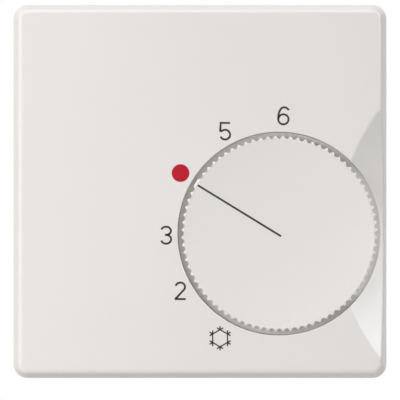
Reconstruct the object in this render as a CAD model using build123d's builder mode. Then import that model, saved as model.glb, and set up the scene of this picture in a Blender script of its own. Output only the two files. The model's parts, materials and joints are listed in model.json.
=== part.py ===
from build123d import *
import os
from math import cos, radians, sin, sqrt

# Room thermostat for a round wall box: a square cover with a knurled setting dial, a
# snap-action bimetal switch behind it, and a terminal housing that goes into the box.
# Frame: x to the right, z up, y into the wall. The wall's surface is y = 0, so what lies
# a depth d in front of the wall is at y = -d. All sizes are in millimetres.

# Gaps
press_gap = 0.02  # pieces pressed together
running_gap = 0.05  # shaft in its bush
loose_gap = 0.1  # screw in its clearance hole
free_gap = 0.2  # pieces that pass each other

# Cover
cover_side = 80.0  # square outline, the size that sets all others
cover_face = 14.0  # front face, in front of the wall
cover_rim = 0.4  # rear rim, just off the wall
cover_corner = 3.0  # corners of the outline
cover_edge = 1.0  # rounding of the front edge
cover_draft = 5.5  # slope of the sides, in degrees
cover_wall = 2.0
rim_height = 2.0  # of the rear rim, set back from the sides
rim_step = 0.8  # how far it is set back
post_radius = 2.0
post_places = ((-30.5, 24.0), (-30.0, -28.0), (30.0, 18.0))
vent_count = 3
vent_pitch = 18.0
vent_width = 15.6
vent_height = 1.6

# Dial and the well it turns in
dial_x = 16.95
dial_z = -9.0
well_radius = 21.7
well_floor = 8.3
well_base = 1.4
well_wall = 1.5
well_lip = 0.3  # rounding of the well's mouth
well_bore = 3.2  # hole for the spindle
flange_radius = 21.6  # plain skirt below the teeth
flange_front = 12.2
tooth_count = 80
tip_radius = 20.95
root_radius = 20.2
dial_front_rim = 14.2
dial_back = 8.7
dish_radius = 20.35
dish_sag = 1.8  # how far the dished face sinks to its middle
rim_rounding = 0.9
rim_drop = 0.5  # from the rim down to the ends of the teeth
dial_skin = 1.6
skirt_inner = 18.6
hub_radius = 4.2
hub_back = 9.0

# Scale: steps of the printed figures, as angles at the dial's axis
pointer_angle = 148.5
scale_step = 30.5
steps_to_coldest = 3
steps_to_warmest = 2
pointer_width = 0.43
pointer_inner = -0.65
pointer_offset = 0.29  # the line runs this far beside the dial's axis
pointer_outer = 20.3
ink_depth = 0.3
dot_radius = 1.9
dot_distance = 24.75  # from the dial's axis
dot_depth = 0.8

# Stops: a lug under the dial runs between the tabs of two limit rings
lug_half = 5.0  # half its width, in degrees
lug_back = 9.8
tab_front = 10.5
tab_room = 1.0  # play before the lug meets a tab, in degrees
limit_sheet = 0.9
low_ring = (4.8, 6.9)  # inner and outer radius
high_ring = (7.1, 9.4)

# Finger scoop: a shallow ball cut into the right edge, level with the dial
scoop_x = 72.3
scoop_reach = 43.0  # radius of its outline on the front face
scoop_ball = 72.0
scoop_edge = 0.8

# Support ring
ring_side = 71.0
ring_corner = 6.0
ring_sheet = 1.0
ring_opening = 48.0
ring_opening_corner = 12.5
slot_pitch = 60.0  # screw spacing of the wall box
slot_length = 8.0
slot_width = 4.0

# Terminal housing
housing_side = 47.0
housing_corner = 12.0
housing_wall = 1.8
housing_edge = 1.2
housing_back = 24.0  # behind the wall
flange_side = 51.0
flange_corner = 5.0
flange_sheet = 1.5
chamber_front = -10.0  # clamp chambers reach forward to here
partition_sheet = 1.0
partition_rise = 2.0  # above the clamps

# Mechanism plate
plate_side = 68.0
plate_corner = 4.0
plate_sheet = 1.5
notch_width = 10.0
notch_floor = 25.0
plate_screw_place = 22.0  # from the middle, along x and along z

# Screws, as shank radius, head radius and head height
plate_screw = (1.45, 2.7, 1.5)
cover_screw_size = (1.25, 2.4, 1.6)
keeper_screw = (0.9, 1.6, 0.9)
cover_screw_distance = 12.6  # from the dial's axis, outside the cam
cover_screw_angle = 200.0
cover_boss_radius = 2.8

# Spindle, cam and slider
spindle_radius = 2.5
spindle_back = 1.0
spindle_front = 11.4
spindle_flat = 1.7  # flat of the D section, from the axis
bush_radius = 3.5
bush_flange_radius = 4.5
bush_flange = 0.5
clip_sheet = 0.6
clip_radius = 4.0
groove_radius = 2.0
washer_sheet = 0.15
cam_back = 4.8
cam_front = 6.5
cam_rest_radius = 6.9
cam_rise = 0.02  # slider travel for each degree of the dial
cam_margin = 10.0  # degrees of spiral past each end of the travel
cam_step = 12.0  # degrees between the points of its outline
nose_radius = 1.0
slider_half = 2.0
slider_back = 4.3
slider_front = 6.4
slider_gap = 0.15
rail_width = 1.6
rail_z = (4.0, 18.0)
seat_z = (20.6, 22.5)
seat_front = 9.6
keeper_z = (14.8, 17.8)
keeper_sheet = 0.6
keeper_boss_radius = 1.7
keeper_boss_overlap = 0.7  # of each boss into its rail

# Switch: bimetal blade, contacts and magnet
blade_z = 28.0
blade_sheet = 0.6
blade_depth = (5.4, 10.4)
blade_tip_x = -24.0
pivot_x = 31.5
pin_radius = 0.75
eye_radius = 1.3
spring_depth = 7.6
spring_radius = 1.5
spring_wire = 0.4
spring_turns = 5
peg_radius = 0.8
peg_length = 1.2
contact_x = -12.0
contact_depth = 7.9
contact_radius = 1.5
contact_height = 1.0
contact_gap = 0.05
contact_tail = 1.2  # radius of the riveted tail
armature_x = (-24.0, -19.0)
armature_sheet = 0.6
magnet_gap = 0.2
magnet_height = 2.5
magnet_depth = (5.8, 10.0)
holder_wall = 1.2
holder_top = 33.8
brass_sheet = 0.8
strip_half = 1.5
ear_x = (28.8, 33.9)
ear_z = (25.4, 30.6)
ear_front = 10.7
live_run_z = (30.8, 33.4)
shelf_z = (32.0, 33.4)
shelf_half = 3.6
shelf_front = 10.8
calibration_radius = 1.5
calibration_head_radius = 2.25
calibration_head = (35.6, 36.8)
calibration_slot = 0.6

# Heating resistors
resistor_radius = 1.3
resistor_edge = 0.5
resistor_depth = 7.4
resistor_x = (-9.6, -1.6)
feedback_z = 23.4
setback_z = 19.5
lead_radius = 0.3
lead_reach = 1.8
lead_bend = 0.8

# Terminals, from left to right
terminal_names = ("load", "setback", "neutral", "live")
terminal_pitch = 7.0
terminal_first = -14.0
terminal_z = (-19.0, -12.0)
terminal_depth = (-20.5, -13.0)
terminal_half = 2.75
window_half = 1.8
window_z = -14.9
terminal_screw_radius = 1.5
terminal_head_radius = 2.3
terminal_head_height = 1.6
terminal_head_sink = 0.8
terminal_slot = 0.8
access_radius = 2.6

# Heights at which each terminal's strip goes forward through the plate
load_pass_z = -10.0
setback_pass_z = 13.0
neutral_pass_z = 19.5
live_pass_z = 15.0

# Derived places
half = cover_side / 2
cover_inside = cover_face - cover_wall
rim_front = cover_rim + rim_height
well_back = well_floor - well_base
dial_underside = dial_front_rim - dish_sag - dial_skin
scoop_centre = (scoop_x, -cover_face - sqrt(scoop_ball**2 - scoop_reach**2), dial_z)
plate_back = ring_sheet + flange_sheet
plate_front = plate_back + plate_sheet
plate_screw_places = [
    (x * plate_screw_place, z * plate_screw_place) for z in (1, -1) for x in (-1, 1)
]
coldest_turn = steps_to_coldest * scale_step
warmest_turn = steps_to_warmest * scale_step
lug_angle = pointer_angle + 180
tab_low_angle = lug_angle + coldest_turn + 2 * lug_half + tab_room
tab_high_angle = lug_angle - warmest_turn - 2 * lug_half - tab_room
bush_front = plate_front + bush_flange
groove = (plate_back - loose_gap - clip_sheet - 2 * running_gap, plate_back - loose_gap)
nose_z = dial_z + cam_rest_radius + loose_gap + nose_radius
slider_x = (dial_x - slider_half, dial_x + slider_half)
keeper_offset = slider_half + slider_gap + rail_width + keeper_boss_radius - keeper_boss_overlap
keeper_middle = (keeper_z[0] + keeper_z[1]) / 2
keeper_places = ((dial_x - keeper_offset, keeper_middle), (dial_x + keeper_offset, keeper_middle))
keeper_front = slider_front + keeper_sheet
blade_low = blade_z - blade_sheet / 2
blade_high = blade_z + blade_sheet / 2
fixed_contact_low = blade_high + contact_height + contact_gap
calibration_low = fixed_contact_low + contact_height
magnet_low = blade_high + armature_sheet + magnet_gap
strip_front = plate_front + brass_sheet
housing_half = housing_side / 2
housing_inner = housing_half - housing_wall
terminal_places = [terminal_first + terminal_pitch * step for step in range(len(terminal_names))]
load_x, setback_x, neutral_x, live_x = terminal_places
strip_passes = (
    (load_x, load_pass_z),
    (setback_x, setback_pass_z),
    (neutral_x, neutral_pass_z),
    (live_x, live_pass_z),
)
clamp_y = -(terminal_depth[0] + terminal_depth[1]) / 2

os.makedirs("parts", exist_ok=True)


def front(depth):
    """Plane parallel to the wall and that far in front of it, with x right and y up."""
    return Plane.XZ.offset(depth)


def dial_plane(depth):
    """The same plane with its origin on the dial's axis."""
    return Plane(origin=(dial_x, -depth, dial_z), x_dir=(1, 0, 0), z_dir=(0, -1, 0))


def polar(radius, angle):
    return (radius * cos(radians(angle)), radius * sin(radians(angle)))


def block(x, depth, z, mode=Mode.ADD):
    """Box between two values each of x, depth in front of the wall and z."""
    middle = ((x[0] + x[1]) / 2, -(depth[0] + depth[1]) / 2, (z[0] + z[1]) / 2)
    with Locations(middle):
        Box(x[1] - x[0], depth[1] - depth[0], z[1] - z[0], mode=mode)


def column(places, radius, depth, mode=Mode.ADD):
    """Round columns square to the wall, at x and z places, between two depths."""
    middle = -(depth[0] + depth[1]) / 2
    with Locations(*[(x, middle, z) for x, z in places]):
        Cylinder(radius, depth[1] - depth[0], rotation=(90, 0, 0), mode=mode)


def upright(x, y, z, radius, mode=Mode.ADD):
    """Round column along z between two heights."""
    with Locations((x, y, (z[0] + z[1]) / 2)):
        Cylinder(radius, z[1] - z[0], mode=mode)


def front_screw(place, seat, size, length):
    """Slotted pan-head screw that is driven from the front, its head on the seat."""
    shank_radius, head_radius, head_height = size
    x, z = place
    column([place], shank_radius, (seat - length, seat))
    column([place], head_radius, (seat, seat + head_height))
    slot = (z - head_radius / 6, z + head_radius / 6)
    slot_floor = seat + head_height / 2
    block((x - head_radius, x + head_radius), (slot_floor, seat + head_height), slot, Mode.SUBTRACT)


def save(builder, name):
    builder.part.label = name
    export_step(builder.part, f"parts/{name}.step")


# Section plane through the dial's axis: x is the radius, y the depth in front of the wall
dial_section = Plane(origin=(dial_x, 0, dial_z), x_dir=(1, 0, 0), z_dir=(0, 0, -1))
dial_axis = Axis((dial_x, 0, dial_z), (0, -1, 0))
contact_axis = Axis((contact_x, -contact_depth, 0), (0, 0, 1))
cover_screw_offset = polar(cover_screw_distance, cover_screw_angle)
cover_screw_place = (dial_x + cover_screw_offset[0], dial_z + cover_screw_offset[1])

# Hollow behind the cover's face, less the dial's well, the scoop's skin and three posts
with BuildPart() as cavity:
    inside = cover_side - 2 * cover_wall
    with BuildSketch(front(cover_rim)):
        RectangleRounded(inside, inside, cover_corner)
    extrude(amount=cover_inside - cover_rim)
    draft(cavity.faces().sort_by(Axis.Y)[1:-1], front(cover_rim), cover_draft)
    with Locations(scoop_centre):
        Sphere(scoop_ball + cover_wall, mode=Mode.SUBTRACT)
    with BuildSketch(dial_plane(well_back)):
        Circle(well_radius + well_wall)
    extrude(amount=cover_face, mode=Mode.SUBTRACT)
    column(post_places, post_radius, (plate_front, cover_face), Mode.SUBTRACT)

# Front cover: square shell with the dial's well, the finger scoop and air notches in its set-back rim
with BuildPart() as front_cover:
    with BuildSketch(front(rim_front)):
        RectangleRounded(cover_side, cover_side, cover_corner)
    extrude(amount=cover_face - rim_front)
    draft(front_cover.faces().sort_by(Axis.Y)[1:-1], front(rim_front), cover_draft)
    fillet(front_cover.faces().sort_by(Axis.Y)[0].edges(), cover_edge)
    rim_side = cover_side - 2 * rim_step
    with BuildSketch(front(cover_rim)):
        RectangleRounded(rim_side, rim_side, cover_corner - rim_step)
    extrude(amount=rim_height)
    with Locations(scoop_centre):
        Sphere(scoop_ball, mode=Mode.SUBTRACT)
    right_face = front_cover.faces().sort_by(Axis.X)[-1]
    fillet(right_face.edges().filter_by(GeomType.CIRCLE), scoop_edge)
    with BuildSketch(dial_plane(well_floor)):
        Circle(well_radius)
    extrude(amount=cover_face, mode=Mode.SUBTRACT)
    with BuildSketch(dial_section):
        with BuildLine():
            lip_low = (well_radius, cover_face - well_lip)
            lip_high = (well_radius + well_lip, cover_face)
            RadiusArc(lip_low, lip_high, well_lip)
            Polyline(
                lip_high,
                (well_radius + well_lip, cover_face + well_lip),
                (well_radius - well_lip, cover_face + well_lip),
                (well_radius - well_lip, cover_face - well_lip),
                lip_low,
            )
        make_face()
    revolve(axis=dial_axis, mode=Mode.SUBTRACT)
    add(cavity.part, mode=Mode.SUBTRACT)
    with BuildSketch(dial_plane(cover_rim)):
        Circle(well_bore)
        with Locations(cover_screw_offset):
            Circle(cover_screw_size[0] + 2 * free_gap)
    extrude(amount=well_floor, mode=Mode.SUBTRACT)
    with BuildSketch(dial_plane(cover_face)):
        with Locations(polar(dot_distance, pointer_angle)):
            Circle(dot_radius)
    extrude(amount=-dot_depth, mode=Mode.SUBTRACT)
    for side in (1, -1):
        with BuildSketch(Plane.XY.offset(side * (half - 1.5 * cover_wall))):
            with Locations((0, -cover_rim)):
                with GridLocations(vent_pitch, vent_pitch, vent_count, 1):
                    Rectangle(vent_width, 2 * vent_height)
        extrude(amount=side * 2 * cover_wall, mode=Mode.SUBTRACT)
save(front_cover, "front_cover")

# Red dot let into the cover at the normal setting
with BuildPart() as setpoint_dot:
    with BuildSketch(dial_plane(cover_face - dot_depth)):
        with Locations(polar(dot_distance, pointer_angle)):
            Circle(dot_radius)
    extrude(amount=dot_depth)
save(setpoint_dot, "setpoint_dot")


def dish_arc(sink):
    """The dial's dished face as a half section, moved back by sink."""
    ball = (dish_radius**2 + dish_sag**2) / (2 * dish_sag)
    low = dial_front_rim - dish_sag - sink
    middle = (dish_radius / 2, low + ball - sqrt(ball**2 - dish_radius**2 / 4))
    return ThreePointArc((0, low), middle, (dish_radius, dial_front_rim - sink))


def knurl_outline():
    """Tips and roots of the teeth, without the groove where the pointer ends."""
    pitch = 360 / tooth_count
    points = []
    for tooth in range(tooth_count):
        tip_angle = pointer_angle + (tooth + 0.5) * pitch
        points.append(polar(tip_radius, tip_angle))
        if tooth < tooth_count - 1:
            points.append(polar(root_radius, tip_angle + pitch / 2))
    return points


def sector(radii, angle):
    """Outline of a stop, as a ring sector at that angle."""
    low, high = radii
    inner_arc = CenterArc((0, 0), low, angle - lug_half, 2 * lug_half)
    outer_arc = CenterArc((0, 0), high, angle - lug_half, 2 * lug_half)
    Line(inner_arc @ 0, outer_arc @ 0)
    Line(inner_arc @ 1, outer_arc @ 1)


# Pointer: dark inlay from the dial's middle to its rim
with BuildPart() as pointer_inlay:
    with BuildSketch(dial_plane(dial_back)):
        with Locations(Location((0, 0, 0), (0, 0, pointer_angle))):
            with Locations(((pointer_inner + pointer_outer) / 2, pointer_offset)):
                Rectangle(pointer_outer - pointer_inner, pointer_width)
    extrude(amount=cover_face)
    with BuildSketch(dial_section):
        with BuildLine():
            ink_front = dish_arc(0)
            ink_back = dish_arc(ink_depth)
            Line(ink_front @ 0, ink_back @ 0)
            Line(ink_front @ 1, ink_back @ 1)
        make_face()
    revolve(axis=dial_axis, mode=Mode.INTERSECT)
save(pointer_inlay, "pointer_inlay")

# Dial: dished knob with a ring of teeth, a plain skirt, a hub and a stop lug
with BuildPart() as dial:
    with BuildSketch(dial_plane(flange_front)):
        with BuildLine():
            Polyline(*knurl_outline(), close=True)
        make_face()
    extrude(amount=dial_front_rim - flange_front)
    with BuildSketch(dial_plane(dial_back)):
        Circle(flange_radius)
    extrude(amount=flange_front - dial_back)
    with BuildSketch(dial_section):
        with BuildLine():
            face_arc = dish_arc(0)
            rim_arc = RadiusArc(
                face_arc @ 1, (tip_radius + free_gap, dial_front_rim - rim_drop), rim_rounding
            )
            Polyline(
                rim_arc @ 1,
                (tip_radius + free_gap, flange_front),
                (flange_radius, flange_front),
                (flange_radius, dial_back),
                (skirt_inner, dial_back),
                (skirt_inner, dial_underside),
                (hub_radius, dial_underside),
                (hub_radius, hub_back),
                (0, hub_back),
                face_arc @ 0,
            )
        make_face()
    revolve(axis=dial_axis, mode=Mode.INTERSECT)
    with BuildSketch(dial_plane(hub_back)):
        Circle(spindle_radius + running_gap)
        with Locations((0, -spindle_flat - running_gap - spindle_radius)):
            Rectangle(4 * spindle_radius, 2 * spindle_radius, mode=Mode.SUBTRACT)
    extrude(amount=spindle_front - hub_back + running_gap, mode=Mode.SUBTRACT)
    with BuildSketch(dial_plane(lug_back)):
        with BuildLine():
            sector((low_ring[0] + free_gap, high_ring[1] - free_gap), lug_angle)
        make_face()
    extrude(amount=dial_underside - lug_back + free_gap)
    add(pointer_inlay.part, mode=Mode.SUBTRACT)
save(dial, "dial")

# Limit rings on the well's floor
for name, radii, tab_angle in (
    ("low_limit_ring", low_ring, tab_low_angle),
    ("high_limit_ring", high_ring, tab_high_angle),
):
    with BuildPart() as limit_ring:
        with BuildSketch(dial_plane(well_floor)):
            Circle(radii[1])
            Circle(radii[0], mode=Mode.SUBTRACT)
        extrude(amount=limit_sheet)
        with BuildSketch(dial_plane(well_floor)):
            with BuildLine():
                sector(radii, tab_angle)
            make_face()
        extrude(amount=tab_front - well_floor)
    save(limit_ring, name)

# Spindle with a D section for dial and cam, and a groove for its clip
with BuildPart() as spindle:
    with BuildSketch(dial_section):
        with BuildLine():
            Polyline(
                (0, spindle_back),
                (spindle_radius, spindle_back),
                (spindle_radius, groove[0]),
                (groove_radius, groove[0]),
                (groove_radius, groove[1]),
                (spindle_radius, groove[1]),
                (spindle_radius, spindle_front),
                (0, spindle_front),
                close=True,
            )
        make_face()
    revolve(axis=dial_axis)
    flat_z = dial_z - spindle_flat
    block(
        (dial_x - spindle_radius, dial_x + spindle_radius),
        (cam_back, spindle_front),
        (flat_z - spindle_radius, flat_z),
        Mode.SUBTRACT,
    )
save(spindle, "spindle")

with BuildPart() as spindle_clip:
    with BuildSketch(dial_plane(groove[0] + running_gap)):
        Circle(clip_radius)
        Circle(groove_radius + running_gap, mode=Mode.SUBTRACT)
        with Locations((0, -clip_radius / 2)):
            Rectangle(2 * groove_radius, clip_radius, mode=Mode.SUBTRACT)
    extrude(amount=clip_sheet)
save(spindle_clip, "spindle_clip")


def cam_radius(angle):
    """Spiral over the dial's travel, then a fall back to its start over the rest."""
    first = -coldest_turn - cam_margin
    last = warmest_turn + cam_margin
    turn = (angle - 90 - first) % 360 + first
    if turn > last:
        turn = last + (turn - last) * (first - last) / (360 + first - last)
    return cam_rest_radius + cam_rise * turn


# Cam on the spindle: a spiral that lifts the slider evenly with the dial's angle
with BuildPart() as setpoint_cam:
    highest = 90 + warmest_turn + cam_margin
    angles = [highest + cam_step * step for step in range(int(360 / cam_step))]
    with BuildSketch(dial_plane(cam_back)):
        with BuildLine():
            Spline(*[polar(cam_radius(angle), angle) for angle in angles], periodic=True)
        make_face()
        Circle(spindle_radius + press_gap, mode=Mode.SUBTRACT)
        with Locations((0, -spindle_flat - press_gap - spindle_radius)):
            Rectangle(2 * spindle_radius, 2 * spindle_radius)
    extrude(amount=cam_front - cam_back)
save(setpoint_cam, "setpoint_cam")

# Bush in the mechanism plate, with the friction washer between it and the cam
with BuildPart() as spindle_bush:
    with BuildSketch(dial_plane(plate_back)):
        Circle(bush_radius)
    extrude(amount=plate_sheet)
    with BuildSketch(dial_plane(plate_front)):
        Circle(bush_flange_radius)
    extrude(amount=bush_flange)
    with BuildSketch(dial_plane(plate_back)):
        Circle(spindle_radius + running_gap)
    extrude(amount=bush_front - plate_back, mode=Mode.SUBTRACT)
save(spindle_bush, "spindle_bush")

with BuildPart() as friction_washer:
    washer_radii = (spindle_radius + free_gap, bush_flange_radius - free_gap)
    with BuildSketch(dial_section):
        with BuildLine():
            Polyline(
                (washer_radii[0], cam_back - washer_sheet - press_gap),
                (washer_radii[1], bush_front),
                (washer_radii[1], bush_front + washer_sheet),
                (washer_radii[0], cam_back - press_gap),
                close=True,
            )
        make_face()
    revolve(axis=dial_axis)
save(friction_washer, "friction_washer")

# Slider: follower nose on the cam, guided upwards, with the spring's seat at its top
with BuildPart() as setpoint_slider:
    with BuildSketch(front(slider_back)):
        with BuildLine():
            Polyline(
                (dial_x - nose_radius, nose_z),
                (slider_x[0], rail_z[0]),
                (slider_x[0], seat_z[1]),
                (slider_x[1], seat_z[1]),
                (slider_x[1], rail_z[0]),
                (dial_x + nose_radius, nose_z),
                close=True,
            )
        make_face()
        with Locations((dial_x, nose_z)):
            Circle(nose_radius)
    extrude(amount=slider_front - slider_back)
    block(slider_x, (slider_back, seat_front), seat_z)
    upright(dial_x, -spring_depth, (seat_z[1], seat_z[1] + peg_length), peg_radius)
save(setpoint_slider, "setpoint_slider")

# Range spring between the slider's seat and the blade
with BuildPart() as range_spring:
    spring_room = blade_low - seat_z[1] - 2 * spring_wire
    spring_base = (dial_x, -spring_depth, seat_z[1] + spring_wire)
    with BuildLine() as coil:
        Helix(spring_room / spring_turns, spring_room, spring_radius, center=spring_base)
    with BuildSketch(Plane(origin=coil.line @ 0, z_dir=coil.line % 0)):
        Circle(spring_wire / 2)
    sweep(is_frenet=True)
save(range_spring, "range_spring")

# Mechanism plate: carries the switch, guides the slider and takes the cover's screw
with BuildPart() as mechanism_plate:
    with BuildSketch(front(plate_back)):
        RectangleRounded(plate_side, plate_side, plate_corner)
        with PolarLocations(notch_floor + plate_side / 4, 4):
            Rectangle(plate_side / 2, notch_width, mode=Mode.SUBTRACT)
        with Locations((dial_x, dial_z)):
            Circle(bush_radius, mode=Mode.SUBTRACT)
        with Locations(*plate_screw_places):
            Circle(plate_screw[0] + loose_gap, mode=Mode.SUBTRACT)
        with Locations(*strip_passes):
            Rectangle(2 * (strip_half + free_gap), brass_sheet + free_gap, mode=Mode.SUBTRACT)
    extrude(amount=plate_sheet)
    left_rail = slider_x[0] - slider_gap
    right_rail = slider_x[1] + slider_gap
    block((left_rail - rail_width, left_rail), (plate_front, slider_front), rail_z)
    block((right_rail, right_rail + rail_width), (plate_front, slider_front), rail_z)
    column(keeper_places, keeper_boss_radius, (plate_front, slider_front))
    column(keeper_places, keeper_screw[0], (plate_front, slider_front), Mode.SUBTRACT)
    column([cover_screw_place], cover_boss_radius, (plate_front, well_back))
    column([cover_screw_place], cover_screw_size[0], (plate_front, well_back), Mode.SUBTRACT)
save(mechanism_plate, "mechanism_plate")

for number, place in enumerate(plate_screw_places, 1):
    with BuildPart() as corner_screw:
        front_screw(place, plate_front, plate_screw, plate_front - loose_gap)
    save(corner_screw, f"plate_screw_{number}")

with BuildPart() as cover_screw:
    front_screw(cover_screw_place, well_floor, cover_screw_size, well_floor - plate_front)
save(cover_screw, "cover_screw")

# Keeper strip that holds the slider down on the plate
with BuildPart() as slider_keeper:
    keeper_reach = keeper_offset + keeper_boss_radius
    keeper_x = (dial_x - keeper_reach, dial_x + keeper_reach)
    keeper_depth = (slider_front + press_gap, keeper_front)
    block(keeper_x, keeper_depth, keeper_z)
    column(keeper_places, keeper_screw[0] + loose_gap, keeper_depth, Mode.SUBTRACT)
save(slider_keeper, "slider_keeper")

for number, place in enumerate(keeper_places, 1):
    with BuildPart() as strip_screw:
        front_screw(place, keeper_front, keeper_screw, keeper_front - plate_front)
    save(strip_screw, f"keeper_screw_{number}")

# Blade: bimetal strip with a rolled eye on the pivot pin and a peg for the spring
with BuildPart() as bimetal_blade:
    with BuildSketch(front(blade_depth[0])):
        with Locations(((blade_tip_x + pivot_x) / 2, blade_z)):
            Rectangle(pivot_x - blade_tip_x, blade_sheet)
        with Locations((pivot_x, blade_z)):
            Circle(eye_radius)
            Circle(pin_radius + running_gap, mode=Mode.SUBTRACT)
    extrude(amount=blade_depth[1] - blade_depth[0])
    upright(dial_x, -spring_depth, (blade_low - peg_length, blade_low), peg_radius)
    upright(contact_x, -contact_depth, (blade_low, blade_high), contact_radius / 2, Mode.SUBTRACT)
save(bimetal_blade, "bimetal_blade")

with BuildPart() as moving_contact:
    with BuildSketch(front(contact_depth)):
        with BuildLine():
            crown = (contact_x, blade_high + contact_height)
            shoulder = (contact_x + contact_radius, blade_high + contact_height / 2)
            dome = TangentArc(crown, shoulder, tangent=(1, 0))
            Polyline(
                shoulder,
                (contact_x + contact_radius, blade_high),
                (contact_x + contact_radius / 2, blade_high),
                (contact_x + contact_radius / 2, blade_low),
                (contact_x + contact_tail, blade_low),
                (contact_x + contact_tail, blade_low - contact_height / 2),
                (contact_x, blade_low - contact_height / 2),
                crown,
            )
        make_face()
    revolve(axis=contact_axis)
save(moving_contact, "moving_contact")

with BuildPart() as armature:
    block(armature_x, blade_depth, (blade_high, blade_high + armature_sheet))
save(armature, "armature")


def rear_strip(strip_x, pass_z, strip_end):
    """Brass strip from a terminal's clamp, up the housing and forward through the plate."""
    sides = (strip_x - strip_half, strip_x + strip_half)
    web = (pass_z - brass_sheet / 2, pass_z + brass_sheet / 2)
    rear = terminal_depth[1]
    block(sides, (rear, strip_end), web)
    block(sides, (rear, rear + brass_sheet), (terminal_z[1], web[1]))


def front_strip(strip_x, low, high):
    """Brass strip that lies on the front of the plate."""
    sides = (strip_x - strip_half, strip_x + strip_half)
    block(sides, (plate_front, strip_front), (low - brass_sheet / 2, high))


# Pivot bracket: two ears for the pin, with its strip back to the live terminal
with BuildPart() as pivot_bracket:
    block(ear_x, (plate_front, strip_front), (ear_z[0], live_run_z[1]))
    block(ear_x, (ear_front, ear_front + brass_sheet), ear_z)
    block((ear_x[1] - brass_sheet, ear_x[1]), (plate_front, ear_front + brass_sheet), ear_z)
    block((live_x - strip_half, ear_x[1]), (plate_front, strip_front), live_run_z)
    front_strip(live_x, live_pass_z, live_run_z[1])
    rear_strip(live_x, live_pass_z, strip_front)
    column([(pivot_x, blade_z)], pin_radius, (plate_front, cover_face), Mode.SUBTRACT)
save(pivot_bracket, "pivot_bracket")

with BuildPart() as pivot_pin:
    column([(pivot_x, blade_z)], pin_radius, (plate_front, ear_front + brass_sheet + free_gap))
save(pivot_pin, "pivot_pin")

# Contact bracket: shelf for the calibration screw, with its strip back to the load terminal
with BuildPart() as contact_bracket:
    shelf_x = (contact_x - shelf_half, contact_x + shelf_half)
    block(shelf_x, (plate_front, shelf_front), shelf_z)
    front_strip(load_x, load_pass_z, shelf_z[1])
    rear_strip(load_x, load_pass_z, strip_front)
    upright(contact_x, -contact_depth, shelf_z, calibration_radius, Mode.SUBTRACT)
save(contact_bracket, "contact_bracket")

with BuildPart() as calibration_screw:
    upright(contact_x, -contact_depth, (calibration_low, calibration_head[1]), calibration_radius)
    upright(contact_x, -contact_depth, calibration_head, calibration_head_radius)
    block(
        (contact_x - calibration_head_radius, contact_x + calibration_head_radius),
        (contact_depth - calibration_slot / 2, contact_depth + calibration_slot / 2),
        (calibration_head[1] - calibration_slot, calibration_head[1]),
        Mode.SUBTRACT,
    )
save(calibration_screw, "calibration_screw")

with BuildPart() as fixed_contact:
    upright(contact_x, -contact_depth, (fixed_contact_low, calibration_low), contact_radius)
save(fixed_contact, "fixed_contact")

# Magnet and its holder, above the armature
magnet_z = (magnet_low, magnet_low + magnet_height)
with BuildPart() as magnet_holder:
    holder_x = (armature_x[0] - holder_wall, armature_x[1] + holder_wall)
    holder_depth = (plate_front, magnet_depth[1] + holder_wall)
    block(holder_x, holder_depth, (magnet_low + magnet_height / 4, holder_top))
    block(armature_x, magnet_depth, magnet_z, Mode.SUBTRACT)
save(magnet_holder, "magnet_holder")

with BuildPart() as snap_magnet:
    block(armature_x, magnet_depth, magnet_z)
save(snap_magnet, "snap_magnet")

# Heating resistors under the blade, with bent leads down to the plate
resistor_length = resistor_x[1] - resistor_x[0]
resistor_middle = (resistor_x[0] + resistor_x[1]) / 2
for name, row_z in (("feedback_resistor", feedback_z), ("setback_resistor", setback_z)):
    with BuildPart() as resistor:
        with Locations((resistor_middle, -resistor_depth, row_z)):
            Cylinder(resistor_radius, resistor_length, rotation=(0, 90, 0))
        fillet(resistor.edges().filter_by(GeomType.CIRCLE), resistor_edge)
    save(resistor, name)
    for end, end_x, reach in (("left", resistor_x[0], -lead_reach), ("right", resistor_x[1], lead_reach)):
        with BuildPart() as lead:
            with BuildLine() as lead_path:
                FilletPolyline(
                    (end_x, -resistor_depth, row_z),
                    (end_x + reach, -resistor_depth, row_z),
                    (end_x + reach, -plate_front, row_z),
                    radius=lead_bend,
                )
            with BuildSketch(Plane(origin=lead_path.line @ 0, z_dir=lead_path.line % 0)):
                Circle(lead_radius)
            sweep(path=lead_path.line)
        save(lead, f"{name}_lead_{end}")

# Strips of the neutral and setback terminals, flush with the plate's front
with BuildPart() as neutral_strip:
    rear_strip(neutral_x, neutral_pass_z, plate_front)
save(neutral_strip, "neutral_strip")

with BuildPart() as setback_strip:
    rear_strip(setback_x, setback_pass_z, plate_front)
save(setback_strip, "setback_strip")

# Support ring: sheet steel with a slot for each box screw
with BuildPart() as support_ring:
    with BuildSketch(front(0)):
        RectangleRounded(ring_side, ring_side, ring_corner)
        RectangleRounded(ring_opening, ring_opening, ring_opening_corner, mode=Mode.SUBTRACT)
        with PolarLocations(slot_pitch / 2, 4):
            SlotOverall(slot_length, slot_width, mode=Mode.SUBTRACT)
        with Locations(*plate_screw_places):
            Circle(plate_screw[0] + running_gap, mode=Mode.SUBTRACT)
    extrude(amount=ring_sheet)
save(support_ring, "support_ring")

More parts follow.
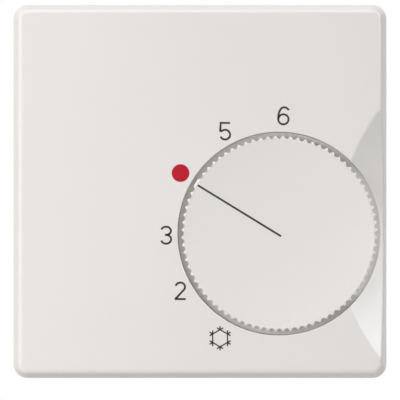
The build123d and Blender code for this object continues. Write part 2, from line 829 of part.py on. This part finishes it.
# Terminal housing: square pot with clamp chambers, wire windows and screw access
partition_places = [terminal_first + terminal_pitch * (step - 0.5) for step in range(5)]
with BuildPart() as insert_housing:
    with BuildSketch(front(ring_sheet)):
        RectangleRounded(flange_side, flange_side, flange_corner)
    extrude(amount=flange_sheet)
    with BuildSketch(front(-housing_back)):
        RectangleRounded(housing_side, housing_side, housing_corner)
    extrude(amount=housing_back + ring_sheet)
    fillet(insert_housing.faces().sort_by(Axis.Y)[-1].edges(), housing_edge)
    with BuildSketch(front(housing_wall - housing_back)):
        RectangleRounded(2 * housing_inner, 2 * housing_inner, housing_corner - housing_wall)
    extrude(amount=housing_back + plate_back, mode=Mode.SUBTRACT)
    column(plate_screw_places, plate_screw[0] + loose_gap, (ring_sheet, plate_back), Mode.SUBTRACT)
    for x in partition_places:
        block(
            (x - partition_sheet / 2, x + partition_sheet / 2),
            (housing_wall / 2 - housing_back, chamber_front),
            (housing_wall / 2 - housing_inner, terminal_z[1] + partition_rise),
        )
    for x in terminal_places:
        block(
            (x - window_half, x + window_half),
            (-housing_back, 2 * housing_wall - housing_back),
            (window_z - window_half, window_z + window_half),
            Mode.SUBTRACT,
        )
        access = (-housing_half, -housing_half + 2 * housing_wall)
        upright(x, clamp_y, access, access_radius, Mode.SUBTRACT)
save(insert_housing, "insert_housing")

# Terminal clamps and their screws: square cages, tightened from below
head_low = terminal_head_sink - housing_half
head_high = head_low + terminal_head_height
window_low = window_z - window_half
for name, x in zip(terminal_names, terminal_places):
    with BuildPart() as clamp:
        block((x - terminal_half, x + terminal_half), terminal_depth, terminal_z)
        block(
            (x - window_half, x + window_half),
            terminal_depth,
            (window_low, window_z + window_half),
            Mode.SUBTRACT,
        )
        upright(x, clamp_y, (terminal_z[0], window_low), terminal_screw_radius, Mode.SUBTRACT)
    save(clamp, f"terminal_clamp_{name}")
    with BuildPart() as clamp_screw:
        upright(x, clamp_y, (head_low, window_low), terminal_screw_radius)
        upright(x, clamp_y, (head_low, head_high), terminal_head_radius)
        block(
            (x - terminal_head_radius, x + terminal_head_radius),
            (-clamp_y - terminal_slot / 2, -clamp_y + terminal_slot / 2),
            (head_low, head_low + terminal_slot),
            Mode.SUBTRACT,
        )
    save(clamp_screw, f"terminal_screw_{name}")
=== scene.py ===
import bpy
import json
from math import cos, dist, radians, sin
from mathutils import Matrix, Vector

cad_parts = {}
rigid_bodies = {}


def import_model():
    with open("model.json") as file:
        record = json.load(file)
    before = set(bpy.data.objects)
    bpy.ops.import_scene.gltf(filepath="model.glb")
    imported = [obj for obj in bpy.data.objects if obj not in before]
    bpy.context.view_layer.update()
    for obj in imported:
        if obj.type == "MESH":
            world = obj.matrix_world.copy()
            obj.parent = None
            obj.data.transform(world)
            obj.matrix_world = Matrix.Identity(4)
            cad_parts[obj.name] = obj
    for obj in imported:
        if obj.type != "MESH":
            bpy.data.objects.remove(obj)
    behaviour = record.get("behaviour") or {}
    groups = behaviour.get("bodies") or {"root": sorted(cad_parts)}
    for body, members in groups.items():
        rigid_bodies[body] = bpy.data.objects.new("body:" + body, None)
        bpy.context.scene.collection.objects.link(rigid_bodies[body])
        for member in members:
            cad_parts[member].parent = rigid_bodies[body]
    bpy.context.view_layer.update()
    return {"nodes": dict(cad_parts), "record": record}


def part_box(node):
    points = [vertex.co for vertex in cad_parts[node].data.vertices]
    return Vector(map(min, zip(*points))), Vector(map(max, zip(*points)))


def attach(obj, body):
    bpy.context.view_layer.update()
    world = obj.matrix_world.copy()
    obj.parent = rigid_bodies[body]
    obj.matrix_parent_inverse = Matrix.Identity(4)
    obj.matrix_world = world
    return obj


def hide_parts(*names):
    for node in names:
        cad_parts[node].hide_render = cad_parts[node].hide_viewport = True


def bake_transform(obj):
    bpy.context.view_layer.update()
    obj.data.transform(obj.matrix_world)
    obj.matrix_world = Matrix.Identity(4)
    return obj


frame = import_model()
bpy.ops.object.select_all(action='DESELECT')  # the loaded nodes come in selected
print("frame loaded:", len(frame["nodes"]), "nodes")

mm = 0.001
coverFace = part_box("front_cover")[0][1]  # y of the front face
dialLow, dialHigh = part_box("dial")
dialX = (dialLow[0] + dialHigh[0]) / 2
dialZ = (dialLow[2] + dialHigh[2]) / 2


# camera: square on and far away, the cover a little above the middle of the picture
view = {"distance": 3.0, "frameWidth": 0.0855, "aimZ": -0.00182, "sensor": 36.0, "clipStart": 0.01}

def addCamera():
    bpy.ops.object.camera_add(
        location=(0, coverFace - view["distance"], view["aimZ"]), rotation=(radians(90), 0, 0))
    camera = bpy.context.object
    camera.name = "photoCamera"
    camera.data.sensor_width = view["sensor"]
    camera.data.lens = view["sensor"] * view["distance"] / view["frameWidth"]
    camera.data.clip_start = view["clipStart"]
    bpy.context.scene.camera = camera

addCamera()
print("camera placed")


# light: a dim tent and soft lamps, on the left, above, on the right and straight behind
light = {
    "sky": 0.265,
    "left": {"place": (-0.36, -0.33, 0.06), "size": 0.35, "watts": 1.55},
    "top": {"place": (0, -0.06, 0.64), "size": 0.35, "watts": 2.1},
    "right": {"place": (0.52, -0.35, 0.2), "size": 0.35, "watts": 0.5},
    "glint": {"place": (0.52, -0.2, 0.36), "size": 0.35, "watts": 5.6},
    "glintLow": {"place": (0.54, -0.36, 0.0), "size": 0.35, "watts": 4.2},
    "behind": {"place": (-0.04, 1.2, 0.06), "size": 0.25, "watts": 5.0},
    "floorZ": -0.1,
    "floorSize": 1.2,
    "floorColor": (0.7, 0.7, 0.69),
    "floorRoughness": 0.8,
}

def addLamp(name):
    settings = light[name]
    place = Vector(settings["place"])
    bpy.ops.object.light_add(type='AREA', location=place)
    lamp = bpy.context.object
    lamp.name = name + "Lamp"
    lamp.data.size = settings["size"]
    lamp.data.energy = settings["watts"]
    lamp.rotation_euler = (-place).to_track_quat('-Z', 'Y').to_euler()

def addFloor():
    bpy.ops.mesh.primitive_plane_add(size=light["floorSize"], location=(0, 0, light["floorZ"]))
    floor = bpy.context.object
    floor.name = "paleFloor"
    material = bpy.data.materials.new("paleFloor")
    material.use_nodes = True
    shader = material.node_tree.nodes["Principled BSDF"]
    shader.inputs["Base Color"].default_value = (*light["floorColor"], 1)
    shader.inputs["Roughness"].default_value = light["floorRoughness"]
    floor.data.materials.append(material)

def addSky():
    world = bpy.data.worlds.new("studioTent")
    bpy.context.scene.world = world
    world.use_nodes = True
    tree = world.node_tree
    tree.nodes.clear()
    output = tree.nodes.new("ShaderNodeOutputWorld")
    mix = tree.nodes.new("ShaderNodeMixShader")
    glow = tree.nodes.new("ShaderNodeBackground")  # what lights the object
    glow.inputs["Color"].default_value = (1, 1, 1, 1)
    glow.inputs["Strength"].default_value = light["sky"]
    white = tree.nodes.new("ShaderNodeBackground")  # what the camera and reflections see
    white.inputs["Color"].default_value = (1, 1, 1, 1)
    path = tree.nodes.new("ShaderNodeLightPath")
    factor = path.outputs["Is Camera Ray"]
    for ray in ("Is Glossy Ray", "Is Transmission Ray"):
        either = tree.nodes.new("ShaderNodeMath")
        either.operation = 'MAXIMUM'
        tree.links.new(factor, either.inputs[0])
        tree.links.new(path.outputs[ray], either.inputs[1])
        factor = either.outputs[0]
    tree.links.new(factor, mix.inputs[0])
    tree.links.new(glow.outputs[0], mix.inputs[1])
    tree.links.new(white.outputs[0], mix.inputs[2])
    tree.links.new(mix.outputs[0], output.inputs[0])

addSky()
addFloor()
for lampName in ("left", "top", "right", "glint", "glintLow", "behind"):
    addLamp(lampName)
for lampName in ("glint", "glintLow"):  # both only gleam, mostly in the finger scoop
    bpy.data.objects[lampName + "Lamp"].visible_diffuse = False
bpy.data.objects["behindLamp"].visible_glossy = False  # its mirror image would whiten the zinc
bpy.context.scene.view_settings.view_transform = 'Standard'
print("light set")


# finishes: noise sizes and the detail of each noise
surface = {
    "cloudSize": 30 * mm,
    "cloudDetail": 2.0,
    "grainDetail": 4.0,
    "platingSize": 4 * mm,
    "platingDetail": 3.0,
    "lineSize": 0.3 * mm,
    "lineDetail": 4.0,
}

def newFinish(name, roughness, metallic=0.0):
    material = bpy.data.materials.new(name)
    material.use_nodes = True
    shader = material.node_tree.nodes["Principled BSDF"]
    shader.inputs["Roughness"].default_value = roughness
    shader.inputs["Metallic"].default_value = metallic
    return material, material.node_tree, shader

def addNoise(tree, size, detail, stretch=(1, 1, 1)):
    coords = tree.nodes.new("ShaderNodeTexCoord")
    mapping = tree.nodes.new("ShaderNodeMapping")
    mapping.inputs["Scale"].default_value = stretch
    noise = tree.nodes.new("ShaderNodeTexNoise")
    noise.inputs["Scale"].default_value = 1 / size
    noise.inputs["Detail"].default_value = detail
    tree.links.new(coords.outputs["Object"], mapping.inputs["Vector"])
    tree.links.new(mapping.outputs["Vector"], noise.inputs["Vector"])
    return noise.outputs["Fac"]

def tint(tree, shader, factor, low, high, start=0.3, end=0.7):
    ramp = tree.nodes.new("ShaderNodeValToRGB")
    ramp.color_ramp.elements[0].position = start
    ramp.color_ramp.elements[1].position = end
    ramp.color_ramp.elements[0].color = (*low, 1)
    ramp.color_ramp.elements[1].color = (*high, 1)
    tree.links.new(factor, ramp.inputs["Fac"])
    tree.links.new(ramp.outputs["Color"], shader.inputs["Base Color"])

def polish(tree, shader, factor, low, high):
    spread = tree.nodes.new("ShaderNodeMapRange")
    spread.inputs["To Min"].default_value = low
    spread.inputs["To Max"].default_value = high
    tree.links.new(factor, spread.inputs["Value"])
    tree.links.new(spread.outputs["Result"], shader.inputs["Roughness"])

def relief(tree, shader, factor, depth):
    bump = tree.nodes.new("ShaderNodeBump")
    bump.inputs["Distance"].default_value = depth
    bump.inputs["Strength"].default_value = 1.0
    tree.links.new(factor, bump.inputs["Height"])
    tree.links.new(bump.outputs["Normal"], shader.inputs["Normal"])

def mouldedPlastic(
        name, color, spread=0.02, roughness=(0.4, 0.5), grain=0.25 * mm, depth=0.006 * mm, shine=0.5):
    material, tree, shader = newFinish(name, roughness[0])
    shader.inputs["Specular IOR Level"].default_value = shine
    broad = addNoise(tree, surface["cloudSize"], surface["cloudDetail"])
    fine = addNoise(tree, grain, surface["grainDetail"])
    low = [max(c - spread, 0) for c in color]
    high = [min(c + spread, 1) for c in color]
    tint(tree, shader, broad, low, high)
    polish(tree, shader, broad, *roughness)
    relief(tree, shader, fine, depth)
    return material

def platedMetal(name, color, spread=0.05, roughness=(0.25, 0.45), stretch=(1, 1, 1), depth=0.003 * mm):
    material, tree, shader = newFinish(name, roughness[0], 1.0)
    cloud = addNoise(tree, surface["platingSize"], surface["platingDetail"])
    lines = addNoise(tree, surface["lineSize"], surface["lineDetail"], stretch)
    low = [c * (1 - spread) for c in color]
    high = [min(c * (1 + spread), 1) for c in color]
    tint(tree, shader, cloud, low, high)
    polish(tree, shader, lines, *roughness)
    relief(tree, shader, lines, depth)
    return material

coverWhite = {"color": (0.80, 0.775, 0.755), "spread": 0.006, "roughness": (0.42, 0.48)}
finishes = {
    "cover_plastic": mouldedPlastic("coverWhite", **coverWhite),
    "dial_plastic": mouldedPlastic("dialWhite", **coverWhite),
    "pointer_inlay": mouldedPlastic("pointerInk", (0.042, 0.037, 0.033), spread=0.004, shine=0.2),
    "red_plastic": mouldedPlastic("signalRed", (0.50, 0.006, 0.022), spread=0.003, shine=0.2),
    "blue_plastic": mouldedPlastic("frostBlue", (0.03, 0.12, 0.42)),
    "housing_plastic": mouldedPlastic(
        "housingGrey", (0.055, 0.057, 0.062), spread=0.012, roughness=(0.5, 0.65),
        grain=0.4 * mm, depth=0.02 * mm),
    "plate_plastic": mouldedPlastic("boardBrown", (0.09, 0.04, 0.02), roughness=(0.4, 0.55)),
    "zinc_steel": platedMetal("zincSheet", (0.62, 0.63, 0.65), spread=0.08, roughness=(0.28, 0.42)),
    "spring_steel": platedMetal("springSteel", (0.45, 0.45, 0.47)),
    "brass": platedMetal("stampedBrass", (0.76, 0.55, 0.24), spread=0.06, roughness=(0.22, 0.4)),
    "silver": platedMetal("silverFace", (0.88, 0.87, 0.85), spread=0.03, roughness=(0.2, 0.35)),
    "bimetal": platedMetal(  # its lines run along the blade
        "rolledBimetal", (0.52, 0.49, 0.44), roughness=(0.3, 0.5), stretch=(0.05, 1, 1)),
    "magnet": mouldedPlastic("ferrite", (0.03, 0.03, 0.033), spread=0.01, roughness=(0.45, 0.7)),
    "resistor_body": mouldedPlastic(
        "resistorCoat", (0.5, 0.35, 0.18), spread=0.04, roughness=(0.25, 0.35)),
}
for subpart in frame["record"]["subparts"]:
    node = bpy.data.objects[subpart["node"]]
    for slot in node.material_slots:
        slot.material = finishes[subpart["material_slot"]]
print("finishes set:", len(finishes))


# printed scale: strokes of even width on the cover's face
scaleMarks = {
    "figureStroke": 0.43 * mm,
    "symbolStroke": 0.27 * mm,
    "thickness": 0.04 * mm,
    "proud": 0.025 * mm,  # how far the print stands out of the face
    "arcStep": 6,  # degrees between the points of an arc
    "hexagon": 1.83,  # radius of the frost symbol, in mm
    "tick": 0.77,  # in mm, past each of its corners
    "closed": 0.001,  # in mm: a stroke whose ends are nearer than this is a ring
    "places": {  # angle at the dial's axis in degrees, distance from it in mm
        "figure_6": (88.0, 25.2),
        "figure_5": (117.9, 24.75),
        "figure_3": (180.8, 24.2),
        "figure_2": (210.0, 24.45),
        "frost_symbol": (240.5, 25.7),
    },
}

# part of an ellipse: its middle and its two radii in mm, its first and last angle
def strokeArc(x, z, width, height, first, last):
    steps = max(2, round(abs(last - first) / scaleMarks["arcStep"]))
    angles = [radians(first + (last - first) * step / steps) for step in range(steps + 1)]
    return [(x + width * cos(a), z + height * sin(a)) for a in angles]

def frostStrokes():
    size, tick = scaleMarks["hexagon"], scaleMarks["tick"]
    turns = [radians(angle) for angle in range(30, 390, 60)]  # one corner points up
    corners = [Vector((cos(a), sin(a))) * size for a in turns]
    strokes = []
    for side, corner in enumerate(corners):
        other = corners[side - 1]
        along = (corner - other).normalized() * tick
        strokes.append([other - along, corner + along])  # the side runs on past its corners
        strokes.append([corner, corner * (1 + tick / size)])
    return strokes

markStrokes = {
    "figure_6": [
        strokeArc(0, -0.75, 1.09, 1.07, 0, 360),
        [(-1.09, -0.75)]
        + strokeArc(0.08, -0.45, 1.17, 2.26, 180, 90)
        + strokeArc(0.08, 0.95, 1.08, 0.86, 84, 15),
    ],
    "figure_5": [
        [(1.04, 1.79), (-0.94, 1.79), (-1.06, -0.1)],
        strokeArc(0, -0.72, 1.05, 1.04, 146, -157),
    ],
    "figure_3": [
        strokeArc(0, 0.94, 1.03, 0.87, 163, -90),
        strokeArc(0, -0.87, 1.07, 0.94, 90, -164),
        [(-0.25, 0.07), (0.1, 0.07)],
    ],
    "figure_2": [
        strokeArc(0.02, 0.83, 1.0, 0.94, 167, -40) + [(-1.0, -1.7)],
        [(-1.2, -1.76), (1.18, -1.76)],
    ],
    "frost_symbol": frostStrokes(),
}

def addMark(name):
    strokeWidth = scaleMarks["symbolStroke" if name == "frost_symbol" else "figureStroke"]
    bpy.ops.curve.primitive_bezier_curve_add()
    piece = bpy.context.object
    piece.name = name
    line = piece.data
    line.splines.clear()
    line.dimensions = '2D'
    line.fill_mode = 'NONE'
    line.extrude = scaleMarks["thickness"] / 2
    for stroke in markStrokes[name]:
        spline = line.splines.new('POLY')
        closed = dist(stroke[0], stroke[-1]) < scaleMarks["closed"]
        points = stroke[:-1] if closed else stroke
        spline.points.add(len(points) - 1)
        spline.use_cyclic_u = closed
        for point, place in zip(spline.points, points):
            point.co = (place[0] * mm, place[1] * mm, 0, 1)
    bpy.ops.object.convert(target='MESH')
    piece = bpy.context.object
    widen = piece.modifiers.new("strokeWidth", 'SOLIDIFY')
    widen.thickness = strokeWidth
    widen.offset = 0
    widen.use_even_offset = True
    bpy.ops.object.modifier_apply(modifier="strokeWidth")
    angle, distance = scaleMarks["places"][name]
    turn = radians(angle)
    piece.rotation_euler = (radians(90), 0, 0)
    piece.location = (
        dialX + distance * mm * cos(turn),
        coverFace - scaleMarks["proud"] + scaleMarks["thickness"] / 2,
        dialZ + distance * mm * sin(turn),
    )
    bpy.ops.object.transform_apply(location=True, rotation=True, scale=True)
    piece.data.materials.clear()
    piece.data.materials.append(finishes["pointer_inlay"])
    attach(piece, "wall_unit")
    piece.select_set(False)

for markName in markStrokes:
    addMark(markName)
print("scale printed:", len(markStrokes), "marks")


# range spring: closed coils at its ends, and open ones between them
spring = {
    "wire": 0.4 * mm,
    "turns": 5.5,
    "endTurns": 1.0,  # closed turns at each end
    "endPitch": 0.41 * mm,
    "headroom": 0.25 * mm,  # left for the blade when the contacts close
    "step": 12,  # degrees between points
    "roundness": 3,  # bevel resolution of the wire
}

def addSpring():
    low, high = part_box("range_spring")
    x, y = (low[0] + high[0]) / 2, (low[1] + high[1]) / 2
    radius = (high[0] - low[0] - spring["wire"]) / 2
    bottom = low[2] + spring["wire"] / 2
    top = high[2] - spring["headroom"] - spring["wire"] / 2
    closed = 2 * spring["endTurns"]
    openTurns = spring["turns"] - closed
    openPitch = (top - bottom - closed * spring["endPitch"]) / openTurns
    bpy.ops.curve.primitive_bezier_curve_add()
    piece = bpy.context.object
    piece.name = "range_spring_coil"
    line = piece.data
    line.splines.clear()
    line.bevel_depth = spring["wire"] / 2
    line.bevel_resolution = spring["roundness"]
    line.use_fill_caps = True
    steps = round(spring["turns"] * 360 / spring["step"])
    spline = line.splines.new('POLY')
    spline.points.add(steps)
    for step, point in enumerate(spline.points):
        turn = step * spring["step"] / 360
        opened = min(max(turn - spring["endTurns"], 0), openTurns)
        height = bottom + opened * openPitch + (turn - opened) * spring["endPitch"]
        angle = radians(step * spring["step"])
        point.co = (x + radius * cos(angle), y + radius * sin(angle), height, 1)
    bpy.ops.object.convert(target='MESH')
    piece = bpy.context.object
    bpy.ops.object.shade_smooth()
    piece.data.materials.clear()
    piece.data.materials.append(finishes["spring_steel"])
    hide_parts("range_spring")
    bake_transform(piece)
    piece.select_set(False)

addSpring()
print("range spring wound")
